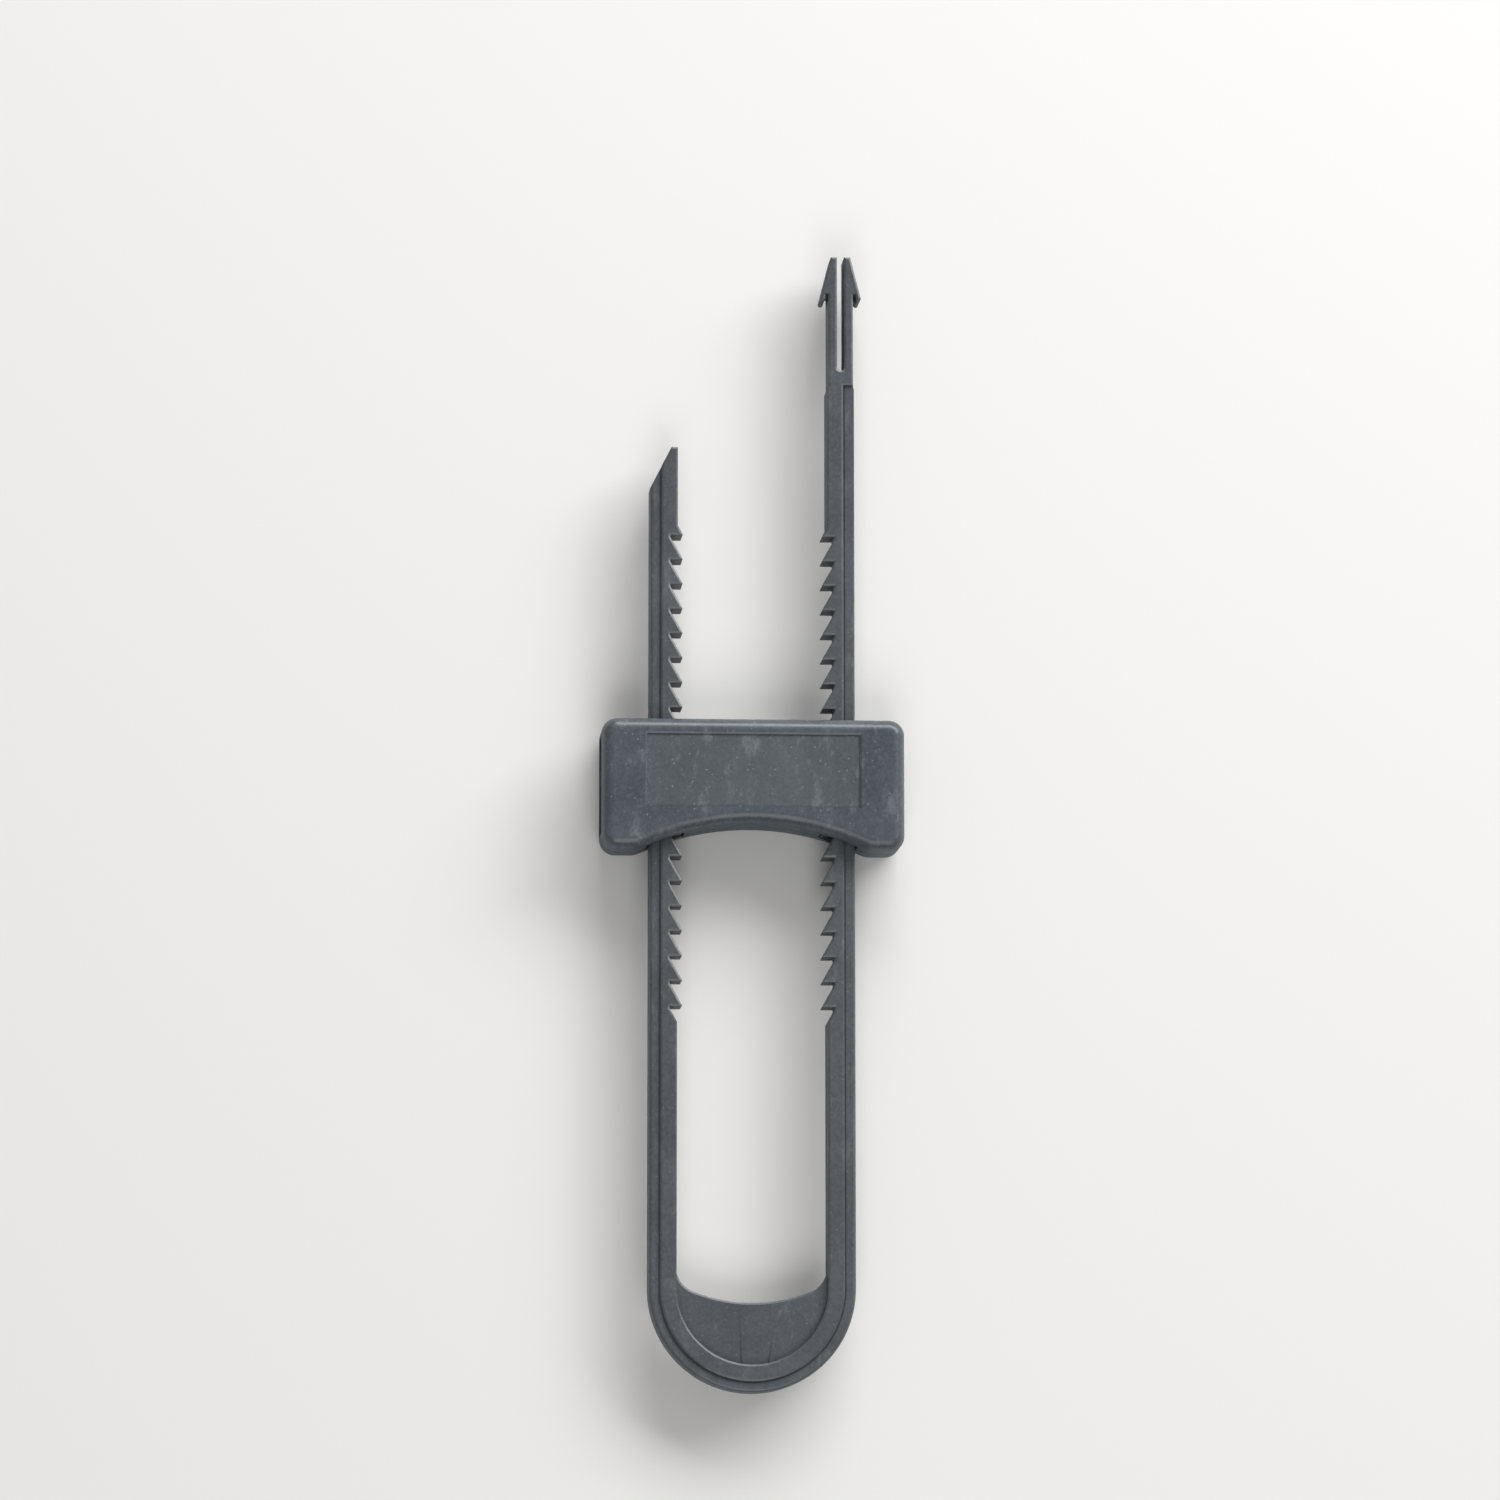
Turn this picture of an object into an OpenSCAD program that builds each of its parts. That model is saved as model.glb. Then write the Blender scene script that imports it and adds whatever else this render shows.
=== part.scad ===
// Sliding cabinet lock: a toothed U-shaped bar and a two-button slider that rides on both its legs.
// The lock lies on its back. X runs across the legs, Y along them away from the bend, and Z out of
// the front face. The origin is under the middle of the whole lock. Distances along the bar, called
// reach below, are counted from the outer edge of the bend.

/* [Bar] */
// Overall length, from the bend to the end of the long leg
bar_length = 217.5; // [200:0.5:240]
// Overall width over the two legs
bar_width = 39.2; // [36:0.1:44]
// Reach of the end of the short leg
short_reach = 180; // [172:0.5:181]
// Width of a leg where it has no teeth
leg_width = 5.3; // [4.8:0.1:6.2]
// Thickness of the legs from front to back
leg_thick = 7; // [5:0.1:9]
// Width of the lower band along the outer edge
band_width = 2.2; // [1.2:0.1:2.6]
// Step down from the legs to that band, on the front and on the back
band_step = 0.6; // [0.2:0.1:1.2]
// Length of the slanted end of the short leg
slant_length = 8; // [4:0.5:10]
// Width left at the point of the short leg
point_width = 1.2; // [0.6:0.1:2]

/* [Teeth] */
// Number of teeth on each leg
tooth_count = 20; // [16:1:20]
// Distance from one tooth to the next
tooth_pitch = 4.75; // [4.4:0.05:4.8]
// Reach of the square face of the tooth nearest the bend
tooth_start = 72.7; // [66:0.1:74]
// Height of the tooth tips above the plain edge of the leg
tooth_rise = 1; // [0.7:0.05:1.4]
// Depth of the tooth roots below the plain edge of the leg
tooth_cut = 1.4; // [0.8:0.05:1.8]
// Length of the flat at a tooth root
tooth_flat = 0.5; // [0.2:0.05:0.8]

/* [Web] */
// Thickness of the web that fills the bend
web_thick = 4; // [2:0.1:4.8]
// Reach of the middle of the web's hollow edge
web_reach = 17; // [12:0.5:20]
// Radius of that hollow edge
web_radius = 30; // [24:0.5:40]
// Radius where the hollow edge runs into the legs
web_corner = 5; // [3:0.1:6]

/* [Split tip of the long leg] */
// Length of the split tip
tip_length = 25; // [20:0.5:28]
// Step in from the leg to the split tip, on each side
tip_step = 0.3; // [0.1:0.05:0.5]
// Width of the split
split_width = 1.4; // [0.8:0.1:1.8]
// How far each barb stands out from the tip
barb_out = 1.55; // [1.3:0.05:2]
// Length of a barb from its hook to the end
barb_length = 8.5; // [6:0.1:9]
// How far a hook points back past its root
hook_back = 1.4; // [0.5:0.1:2]
// Width of the split tip at its end
tip_end_width = 3.7; // [3.2:0.1:4.4]

/* [Slider] */
// How far the slider reaches past each leg
slider_overhang = 9.2; // [8.4:0.1:12]
// Height of the slider at its two ends
slider_height = 25.1; // [24:0.1:30]
// Depth of the hollow in its lower edge
hollow_depth = 5.1; // [2:0.1:5.4]
// Half the width of that hollow
hollow_half = 22; // [20:0.5:23]
// Radius of the slider's corners, seen from the front
slider_corner = 3; // [2.2:0.1:4]
// Radius of its front and back edges
edge_radius = 2; // [0.8:0.1:2.2]
// Thickness of its front, back and long walls
wall = 1.8; // [1.4:0.1:2.2]
// Thickness of its end walls
end_wall = 2; // [1.6:0.1:2.6]
// Width of the sunk panel on the front
panel_width = 40.4; // [30:0.2:46]
// Height of the sunk panel
panel_height = 13.9; // [10:0.1:15]
// Depth of the sunk panel
panel_depth = 0.4; // [0.2:0.1:0.7]
// Distance from the slider's upper edge to the panel
panel_drop = 3.1; // [2.4:0.1:4]

/* [Buttons] */
// Height of a button's pad along the legs
pad_height = 18.1; // [14:0.1:18.4]
// Thickness of a button's pad from front to back
pad_thick = 8.4; // [7:0.1:8.8]
// How far the pad sits below the slider's end
pad_recess = 0.6; // [0.2:0.1:1.2]
// Depth of the thumb hollow in the pad
thumb_depth = 0.8; // [0.3:0.1:1.2]
// How far a button can be pressed in
press_travel = 2; // [1.6:0.1:2.4]
// Thickness of the flange that keeps the button in
flange_thick = 1.5; // [1:0.1:2]
// Thickness of the two arms that pass the leg
arm_thick = 1.2; // [1:0.1:1.8]
// Width of those arms
arm_width = 8; // [6:0.1:9]
// Thickness of the block that carries the pawl
block_thick = 2.6; // [2:0.1:3]
// Distance from the tooth tips back to that block
block_back = 1.6; // [1:0.1:2]
// Height of the pawl's flat face above the slider's lower edge
pawl_height = 13.1; // [12:0.1:14]
// Width of the pawl where it meets its block
pawl_root = 3.8; // [2.5:0.1:4]
// Width of the pawl's nose
pawl_nose = 0.8; // [0.4:0.1:1.2]
// Which tooth the pawls hold at rest, counted from the bend
rest_tooth = 9; // [5:1:11]

/* [Springs] */
// Outer diameter of a spring
spring_dia = 4.8; // [3.6:0.1:5.2]
// Diameter of its wire
wire_dia = 0.6; // [0.4:0.05:0.7]
// Number of turns
spring_turns = 5; // [3:1:5]
// Diameter of the spigots that centre it
spigot_dia = 2.6; // [1.6:0.1:2.8]

/* [Joining of the covers] */
// Thickness of the rib that carries the springs
rib_thick = 2.5; // [2:0.1:3]
// Diameter of the joining pegs
peg_dia = 2.4; // [1.6:0.1:2.8]
// Length of a peg past the parting plane
peg_length = 3; // [2:0.1:3.6]
// Outer diameter of the sockets that take the pegs
socket_dia = 5; // [4.4:0.1:5.6]
// Distance of the two upper pegs from the middle
peg_offset = 6.4; // [5:0.1:7.4]

/* [Clearances] */
// Room round a leg in the slider's slots
slot_gap = 0.3; // [0.2:0.05:0.5]
// Room between a leg and a button's arms
arm_gap = 0.35; // [0.2:0.05:0.5]
// Room between a button and the covers
slide_gap = 0.15; // [0.1:0.05:0.3]
// Room round a pad in its opening
pad_gap = 0.3; // [0.2:0.05:0.5]
// Room between a pawl's flat face and its tooth
pawl_gap = 0.15; // [0.1:0.05:0.3]
// Room between a pawl's nose and the plain edge of a leg
nose_gap = 0.13; // [0.1:0.01:0.3]
// Room round a peg in its socket
peg_gap = 0.05; // [0.03:0.01:0.1]
// Room between a spring and its seats, and between spigots that meet
seat_gap = 0.05; // [0.03:0.01:0.15]

/* [Hidden] */
$fn = 64;
// Overlap that joins two shapes of the same piece
join = 0.5;
// Overshoot of a cut past the face that it opens
over = 1;

// Distances from the middle plane of the lock to the right, which the left side mirrors
leg_outer = bar_width / 2;
leg_plain = leg_outer - leg_width;
leg_middle = leg_outer - leg_width / 2;
tooth_tip = leg_plain - tooth_rise;
tooth_root = leg_plain + tooth_cut;
slider_half = leg_outer + slider_overhang;
end_inner = slider_half - end_wall;
flange_outer = end_inner - slide_gap;
flange_inner = flange_outer - flange_thick;
pad_outer = slider_half - pad_recess;
pawl_tip = leg_plain - nose_gap;
block_outer = tooth_tip - block_back;
block_inner = block_outer - block_thick;
// The two spigots in a spring meet when its button is pressed fully in
spigot_length = (block_inner - rib_thick / 2 - press_travel - seat_gap) / 2;

// Heights through the thickness
arm_inner = leg_thick / 2 + arm_gap;
cavity_half = arm_inner + arm_thick + slide_gap;
slider_thick = 2 * (cavity_half + wall);
mid = slider_thick / 2;

// Places along the bar, as reach
tooth_run = (tooth_pitch - tooth_flat) / (tooth_rise + tooth_cut);
pawl_reach = tooth_start + rest_tooth * tooth_pitch - pawl_gap;
slider_low = pawl_reach - pawl_height;
slider_high = slider_low + slider_height;
slider_mid = slider_low + slider_height / 2;
hollow_radius = (hollow_half * hollow_half + hollow_depth * hollow_depth) / (2 * hollow_depth);
hollow_centre = slider_low + hollow_depth - hollow_radius;
tip_start = bar_length - tip_length;
peg_high = slider_high - wall - socket_dia / 2 + join;
hollow_top = hollow_centre + hollow_radius;
peg_low = hollow_top + (socket_dia + join) / 2;

bar_colour = "#55595E";
cover_colour = "#5A5F64";
button_colour = "#4B4F54";
spring_colour = "#B8BCC0";

// Moves a shape drawn in reach to its place on the lock
module along_bar() {
    translate([0, -bar_length / 2, 0]) children();
}

// Extrudes a front outline evenly about the middle plane
module centred(thick) {
    translate([0, 0, mid - thick / 2]) linear_extrude(thick) children();
}

// A square with round corners, about its middle
module round_square(width, height, radius) {
    square([width, height - 2 * radius], center = true);
    square([width - 2 * radius, height], center = true);
    for (x = [-1, 1], y = [-1, 1])
        translate([x * (width / 2 - radius), y * (height / 2 - radius)]) circle(radius);
}

// Outline of the right leg, out to a given outer edge and up to a given reach, with as many of the
// teeth as end below a second reach
module leg_outline(outer_edge, end_reach, teeth_reach) {
    faces = [for (i = [0 : tooth_count - 1]) let (face = tooth_start + i * tooth_pitch)
        if (face + tooth_rise * tooth_run < teeth_reach) face];
    last_tooth = faces[len(faces) - 1];
    polygon(concat(
        [[outer_edge, leg_outer - join],
         [leg_plain, leg_outer - join],
         [leg_plain, tooth_start - tooth_flat - tooth_cut * tooth_run],
         [tooth_root, tooth_start - tooth_flat]],
        [for (face = faces, p = [
            [tooth_root, face],
            [tooth_tip, face],
            [tooth_root, face + tooth_pitch - tooth_flat]]) if (face < last_tooth) p],
        [[tooth_root, last_tooth],
         [tooth_tip, last_tooth],
         [leg_plain, last_tooth + tooth_rise * tooth_run],
         [leg_plain, end_reach],
         [outer_edge, end_reach]]));
}

// Outline of the bend, between the plain edge of the legs and a given outer edge
module bend_outline(outer_edge) {
    translate([0, leg_outer]) difference() {
        circle(outer_edge);
        circle(leg_plain);
        translate([-2 * outer_edge, 0]) square([4 * outer_edge, 2 * outer_edge]);
    }
}

// Both legs and the bend, out to a given outer edge
module bar_outline(outer_edge) {
    difference() {
        union() {
            bend_outline(outer_edge);
            leg_outline(outer_edge, tip_start + join, tip_start);
            mirror([1, 0]) leg_outline(outer_edge, short_reach, short_reach - slant_length);
        }
        // Slanted end of the short leg
        polygon([[-leg_outer - over, short_reach + over],
                 [-leg_outer - over, short_reach - slant_length],
                 [-leg_outer, short_reach - slant_length],
                 [-leg_plain - point_width, short_reach],
                 [-leg_plain - point_width, short_reach + over]]);
    }
}

// One half of the split tip, about the middle of the leg
module prong_outline() {
    shank = leg_width / 2 - tip_step;
    hook_reach = bar_length - barb_length;
    polygon([[split_width / 2, tip_start + 2 * split_width],
             [split_width / 2, bar_length],
             [tip_end_width / 2, bar_length],
             [shank + barb_out, hook_reach],
             [shank, hook_reach + hook_back],
             [shank, tip_start],
             [-join, tip_start],
             [-join, tip_start + 2 * split_width]]);
}

// Web inside the bend, with its hollow edge run into the legs
module web_outline() {
    corner_x = leg_plain - web_corner;
    hollow_y = web_reach + web_radius;
    corner_y = hollow_y - sqrt(pow(web_radius - web_corner, 2) - corner_x * corner_x);
    touch = web_radius / (web_radius - web_corner);
    touch_x = corner_x * touch;
    difference() {
        union() {
            translate([0, leg_outer]) circle(leg_plain + join);
            translate([-leg_plain - join, leg_outer]) square([2 * (leg_plain + join), web_corner * 2]);
        }
        intersection() {
            translate([0, hollow_y]) circle(web_radius);
            translate([-touch_x, 0]) square([2 * touch_x, hollow_y]);
        }
        for (side = [-1, 1]) translate([side * corner_x, corner_y]) circle(web_corner);
        translate([-leg_plain - over, corner_y]) square([2 * (leg_plain + over), hollow_y]);
    }
}

module u_bar() {
    color(bar_colour) along_bar() {
        centred(leg_thick - 2 * band_step) bar_outline(leg_outer);
        centred(leg_thick) bar_outline(leg_outer - band_width);
        centred(web_thick) web_outline();
        centred(leg_thick) translate([leg_middle, 0]) {
            prong_outline();
            mirror([1, 0]) prong_outline();
        }
    }
}

// Solid of the whole slider, with its hollow lower edge and its rounded rims
module slider_block() {
    intersection() {
        linear_extrude(slider_thick) difference() {
            translate([0, slider_mid]) round_square(2 * slider_half, slider_height, slider_corner);
            translate([0, hollow_centre]) circle(hollow_radius, $fn = 180);
        }
        translate([-slider_half - over, 0, mid]) rotate([90, 0, 90]) linear_extrude(2 * (slider_half + over))
            translate([slider_mid, 0]) round_square(slider_height, slider_thick, edge_radius);
        translate([0, slider_high + over, mid]) rotate([90, 0, 0]) linear_extrude(slider_height + 2 * over)
            round_square(2 * slider_half, slider_thick, edge_radius);
    }
}

// Room inside the slider, one wall in from its outline
module slider_cavity() {
    translate([0, 0, mid - cavity_half]) linear_extrude(2 * cavity_half) difference() {
        translate([-end_inner, slider_low + wall]) square([2 * end_inner, slider_height - 2 * wall]);
        translate([0, hollow_centre]) circle(hollow_radius + wall, $fn = 180);
    }
}

// Slots for the two legs and openings for the two pads
module slider_openings() {
    slot_low = tooth_tip - slot_gap;
    slot_high = leg_outer + slot_gap;
    slot_thick = leg_thick + 2 * slot_gap;
    for (side = [0, 1]) mirror([side, 0, 0]) {
        translate([slot_low, slider_low - over, mid - slot_thick / 2])
            cube([slot_high - slot_low, slider_height + 2 * over, slot_thick]);
        translate([end_inner - join, slider_mid - pad_height / 2 - pad_gap, mid - pad_thick / 2 - pad_gap])
            cube([end_wall + join + over, pad_height + 2 * pad_gap, pad_thick + 2 * pad_gap]);
    }
}

// Hollow shell of the slider, cut off at the parting plane on one side of it
module slider_shell(low) {
    difference() {
        slider_block();
        slider_cavity();
        slider_openings();
        translate([-slider_half - over, slider_low - over, low ? mid : -over])
            cube([2 * (slider_half + over), slider_height + 2 * over, mid + over]);
    }
}

// Places of the three pegs that join the covers
module at_pegs() {
    for (place = [[-peg_offset, peg_high], [peg_offset, peg_high], [0, peg_low]])
        translate([place[0], place[1], mid]) children();
}

// Room for the two springs
module spring_room() {
    for (side = [-1, 1])
        translate([0, slider_mid, mid]) rotate([0, side * 90, 0])
            translate([0, 0, rib_thick / 2 + seat_gap])
                cylinder(h = block_inner - rib_thick / 2, d = spring_dia + 2 * seat_gap);
}

// Columns round the pegs, from a given height above the parting plane, clear of the springs
module sockets(height) {
    difference() {
        at_pegs() translate([0, 0, height]) cylinder(h = cavity_half + join, d = socket_dia);
        spring_room();
    }
}

module front_cover() {
    color(cover_colour) along_bar() difference() {
        union() {
            slider_shell(false);
            sockets(0);
        }
        at_pegs() translate([0, 0, -over]) cylinder(h = over + peg_length + peg_gap, d = peg_dia + 2 * peg_gap);
        translate([-panel_width / 2, slider_high - panel_drop - panel_height, slider_thick - panel_depth])
            cube([panel_width, panel_height, panel_depth + over]);
    }
}

module rear_cover() {
    color(cover_colour) along_bar() {
        slider_shell(true);
        sockets(-cavity_half - join);
        at_pegs() translate([0, 0, -join]) cylinder(h = peg_length + join, d = peg_dia);
        // Rib that carries the springs, full length below the parting plane and short above it
        translate([-rib_thick / 2, hollow_top + wall / 2, mid - cavity_half - join])
            cube([rib_thick, slider_high - hollow_top - wall, cavity_half + join]);
        difference() {
            translate([-rib_thick / 2, slider_mid - arm_width / 2, mid - join])
                cube([rib_thick, arm_width, cavity_half + join - slide_gap]);
            translate([0, peg_low, mid]) cylinder(h = cavity_half + over, d = socket_dia + 2 * slot_gap);
        }
        // Spigots that centre the springs
        for (side = [-1, 1])
            translate([0, slider_mid, mid]) rotate([0, side * 90, 0])
                cylinder(h = rib_thick / 2 + spigot_length, d = spigot_dia);
    }
}

// A release button on the right: pad, flange, two arms round the leg, and the pawl on its block
module button() {
    pad_round = 1;
    pad_inner = flange_outer - join;
    thumb_radius = (pad_height * pad_height / 4 + thumb_depth * thumb_depth) / (2 * thumb_depth);
    flange_height = slider_height - 2 * (wall + pad_gap);
    flange_half = cavity_half - slide_gap;
    difference() {
        translate([pad_inner, slider_mid, mid]) rotate([90, 0, 90])
            linear_extrude(pad_outer - pad_inner) round_square(pad_height, pad_thick, pad_round);
        translate([pad_outer + thumb_radius - thumb_depth, slider_mid, -over])
            cylinder(h = slider_thick + 2 * over, r = thumb_radius, $fn = 120);
    }
    translate([flange_inner, slider_mid - flange_height / 2, mid - flange_half])
        cube([flange_thick, flange_height, 2 * flange_half]);
    for (face = [-1, 1])
        translate([block_inner, slider_mid - arm_width / 2, mid + face * (arm_inner + arm_thick / 2) - arm_thick / 2])
            cube([flange_inner + join - block_inner, arm_width, arm_thick]);
    translate([block_inner, slider_mid - arm_width / 2, mid - arm_inner - join])
        cube([block_thick, arm_width, 2 * (arm_inner + join)]);
    centred(2 * arm_inner) polygon([[block_outer - join, pawl_reach],
                                    [pawl_tip, pawl_reach],
                                    [pawl_tip, pawl_reach - pawl_nose],
                                    [block_outer, pawl_reach - pawl_root],
                                    [block_outer - join, pawl_reach - pawl_root]]);
    translate([block_inner - spigot_length, slider_mid, mid]) rotate([0, 90, 0])
        cylinder(h = spigot_length + join, d = spigot_dia);
}

module right_button() {
    color(button_colour) along_bar() button();
}

module left_button() {
    color(button_colour) along_bar() mirror([1, 0, 0]) button();
}

// The coiled wire of a spring, as one tube of six sides with eight rings to a turn
spring_rings = 8 * spring_turns;
coil_radius = (spring_dia - wire_dia) / 2;
coil_start = rib_thick / 2 + seat_gap + wire_dia / 2;
coil_length = block_inner - seat_gap - wire_dia / 2 - coil_start;
coil_slope = coil_length / (360 * spring_turns) * 180 / PI / coil_radius;
coil_lean = atan(coil_slope);

function ring_points(i) = let (
        turn = 360 * spring_turns * i / spring_rings,
        out = [0, cos(turn), sin(turn)],
        across = [cos(coil_lean), sin(coil_lean) * sin(turn), -sin(coil_lean) * cos(turn)],
        centre = [coil_start + coil_length * i / spring_rings, 0, 0] + coil_radius * out)
    [for (k = [0 : 5]) centre + wire_dia / 2 * (cos(60 * k) * out + sin(60 * k) * across)];

spring_points = [for (i = [0 : spring_rings]) ring_points(i)];
spring_gap = min([for (i = [0 : spring_rings - 6], j = [i + 6 : spring_rings], a = spring_points[i], b = spring_points[j])
    norm(a - b)]);
echo(least_gap_between_turns = spring_gap);

module spring() {
    last = 6 * spring_rings;
    translate([0, slider_mid, mid]) polyhedron(
        points = [for (ring = spring_points, p = ring) p],
        faces = concat(
            [for (k = [1 : 4]) [0, k, k + 1]],
            [for (k = [1 : 4]) [last, last + k + 1, last + k]],
            [for (i = [0 : spring_rings - 1], k = [0 : 5], half = [0, 1])
                let (a = 6 * i + k, b = 6 * i + (k + 1) % 6)
                half == 0 ? [a, a + 6, b] : [b, a + 6, b + 6]]));
}

module right_spring() {
    color(spring_colour) along_bar() spring();
}

module left_spring() {
    color(spring_colour) along_bar() mirror([1, 0, 0]) spring();
}

u_bar();
front_cover();
rear_cover();
left_button();
right_button();
left_spring();
right_spring();
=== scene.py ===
import math

import bmesh
import bpy
from mathutils import Matrix, Vector


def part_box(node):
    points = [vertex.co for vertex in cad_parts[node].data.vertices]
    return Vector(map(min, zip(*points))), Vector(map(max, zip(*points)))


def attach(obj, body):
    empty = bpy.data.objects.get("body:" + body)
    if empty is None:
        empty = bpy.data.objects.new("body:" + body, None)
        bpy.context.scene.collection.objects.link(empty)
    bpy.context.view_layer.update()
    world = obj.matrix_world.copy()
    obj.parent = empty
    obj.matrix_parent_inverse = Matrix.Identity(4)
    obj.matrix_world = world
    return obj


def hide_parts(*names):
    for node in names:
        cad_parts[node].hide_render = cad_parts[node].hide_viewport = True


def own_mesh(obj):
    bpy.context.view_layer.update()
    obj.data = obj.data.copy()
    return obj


# A sliding cabinet lock, dressed around its frame: a toothed U-shaped bar, and a slider of two shells
# with a release button and a spring at each end. Sizes are in millimetres. X runs across the legs, Y
# along them and Z out of the front. Reach is the distance along the bar from the outside of its bend.

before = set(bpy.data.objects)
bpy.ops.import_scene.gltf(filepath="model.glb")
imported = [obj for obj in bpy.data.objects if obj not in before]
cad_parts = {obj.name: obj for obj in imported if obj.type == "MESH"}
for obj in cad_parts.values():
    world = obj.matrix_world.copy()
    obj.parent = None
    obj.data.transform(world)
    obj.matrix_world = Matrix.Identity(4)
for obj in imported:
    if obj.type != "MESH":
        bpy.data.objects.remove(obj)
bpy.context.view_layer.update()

MM = 0.001
bar_low, bar_high = (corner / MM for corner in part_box("u_bar"))
cover_low, cover_high = (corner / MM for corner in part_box("front_cover"))
button_low, button_high = (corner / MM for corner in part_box("right_button"))
coil_low, coil_high = (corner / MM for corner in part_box("right_spring"))

# Sizes of the bar
BAR_LENGTH = 217.5
BEND_Y = bar_high.y - BAR_LENGTH
MIDDLE = cover_low.z
LEG_THICK = bar_high.z - bar_low.z
LEG_OUTER = -bar_low.x
LEG_WIDTH = 5.3
LEG_PLAIN = LEG_OUTER - LEG_WIDTH
BAND_WIDTH = 2.2
BAND_INNER = LEG_OUTER - BAND_WIDTH
BAND_STEP = 0.6
SHORT_REACH = 180
SLANT_LENGTH = 8
POINT_WIDTH = 1.2
TOOTH_ROUNDING = 0.15
BAND_ROUNDING = 0.8
CHAMFER_WIDTH = 0.35
CHAMFER_DEPTH = 0.16
GROOVE_WIDTH = 0.32
GROOVE_DEPTH = 0.25

# Sizes of the teeth
TOOTH_COUNT = 20
TOOTH_PITCH = 4.75
TOOTH_START = 72.7
TOOTH_FLAT = 0.5
TOOTH_RISE = 1
TOOTH_CUT = 1.4
TOOTH_TIP = LEG_PLAIN - TOOTH_RISE
TOOTH_ROOT = LEG_PLAIN + TOOTH_CUT
TOOTH_RUN = (TOOTH_PITCH - TOOTH_FLAT) / (TOOTH_ROOT - TOOTH_TIP)

# Sizes of the web in the bend
WEB_THICK = 4
WEB_REACH = 16.9
WEB_RADIUS = 30.1
WEB_CORNER = 5.1
WEB_CORNER_SINK = 0.1
WEB_SINK = 1.6

# Sizes of the split tip of the long leg
TIP_LENGTH = 25
TIP_START = BAR_LENGTH - TIP_LENGTH
TIP_STEP = 0.3
TIP_SLOPE = 1
SPLIT_WIDTH = 1.4
SPLIT_DEPTH = 22.2
BARB_OUT = 1.55
BARB_LENGTH = 8.5
NOTCH_WIDTH = 0.6
NOTCH_DEPTH = 1.4
TIP_END_WIDTH = 3.7

# Sizes of the slider's shells
SLIDER_LOW = cover_low.y - BEND_Y
SLIDER_HIGH = cover_high.y - BEND_Y
SLIDER_MID = (SLIDER_LOW + SLIDER_HIGH) / 2
SLIDER_HALF = cover_high.x
SHELL_DEPTH = cover_high.z - MIDDLE
SHELL_CORNER = 3
SHELL_RIM = 2.4
SHELL_WALL = 1.8
CAVITY_DEPTH = SHELL_DEPTH - SHELL_WALL
HOLLOW_DEPTH = 5.1
HOLLOW_TOP = SLIDER_LOW + HOLLOW_DEPTH
HOLLOW_RADIUS = 50
LOBE_ROUNDING = 5
PANEL_WIDTH = 40.4
PANEL_HEIGHT = 13.9
PANEL_DEPTH = 0.4
PANEL_DROP = 3.1
SEAM_DEPTH = 0.3
SLOT_GAP = 0.3
SLOT_ROUNDING = 0.25

# Sizes of the buttons
PAD_OUTER = button_high.x
PAD_HEIGHT = 18.1
PAD_THICK = 8.4
PAD_ROUNDING = 1
PAD_GAP = 0.3
PAD_LIP = 1.5
THUMB_HEIGHT = PAD_HEIGHT - 2 * PAD_LIP
THUMB_DEPTH = 0.8
FLANGE_INSET = 2.15
FLANGE_OUTER = SLIDER_HALF - FLANGE_INSET
FLANGE_THICK = 1.5
FLANGE_INNER = FLANGE_OUTER - FLANGE_THICK
FLANGE_HALF = (button_high.z - button_low.z) / 2
FLANGE_HEIGHT = button_high.y - button_low.y
ARM_THICK = 1.2
ARM_INNER = FLANGE_HALF - ARM_THICK
ARM_WIDTH = 8
BLOCK_BACK = 1.6
BLOCK_OUTER = TOOTH_TIP - BLOCK_BACK
BLOCK_THICK = 2.6
BLOCK_INNER = BLOCK_OUTER - BLOCK_THICK
NOSE_GAP = 0.13
PAWL_TIP = LEG_PLAIN - NOSE_GAP
PAWL_HEIGHT = 13.1
PAWL_REACH = SLIDER_LOW + PAWL_HEIGHT
PAWL_ROOT = 3.8
PAWL_NOSE = 0.8
BUTTON_ROUNDING = 0.3

# Sizes of what joins the shells and holds the springs
RIB_HALF = 1.25
PEG_DIAMETER = 2.4
PEG_LENGTH = 3
PEG_GAP = 0.05
SOCKET_DIAMETER = 5
SOCKET_SINK = 0.2
PEG_OFFSET = 6.4
PEG_DROP = 3.8
PEG_RISE = 2.75
PEG_HIGH = SLIDER_HIGH - PEG_DROP
PEG_LOW = HOLLOW_TOP + PEG_RISE
PEG_PLACES = [(-PEG_OFFSET, PEG_HIGH), (PEG_OFFSET, PEG_HIGH), (0, PEG_LOW)]
SPIGOT_DIAMETER = 2.6
SPIGOT_LENGTH = BLOCK_INNER - button_low.x
WIRE_DIAMETER = 0.6
COIL_RADIUS = (coil_high.y - coil_low.y - WIRE_DIAMETER) / 2
COIL_TURNS = 5
CLOSED_TURNS = 0.75

# How finely curves are drawn, in degrees, lengths and sides, how near two points are to count as one,
# how far cuts run past a face and joined solids run into each other, and when a face counts as flat
ARC_STEP = 3
ARC_CHORD = 0.1
WELD = 0.005
SHARP_ANGLE = math.radians(32)
SMOOTH_ANGLE = math.radians(23)
OVERSHOOT = 1
OVERLAP = 0.08
JOIN = 0.5
FLAT = 0.9
FACING_FRONT = 0.99
ROD_SIDES = 48
DISH_SIDES = 200
POINTS_A_TURN = 32
WIRE_SMOOTH_ANGLE = math.radians(50)


# Modelling

def at(x, reach, z=MIDDLE):
    """A place on the lock in the frame's metres."""
    return Vector((x, reach + BEND_Y, z)) * MM


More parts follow.
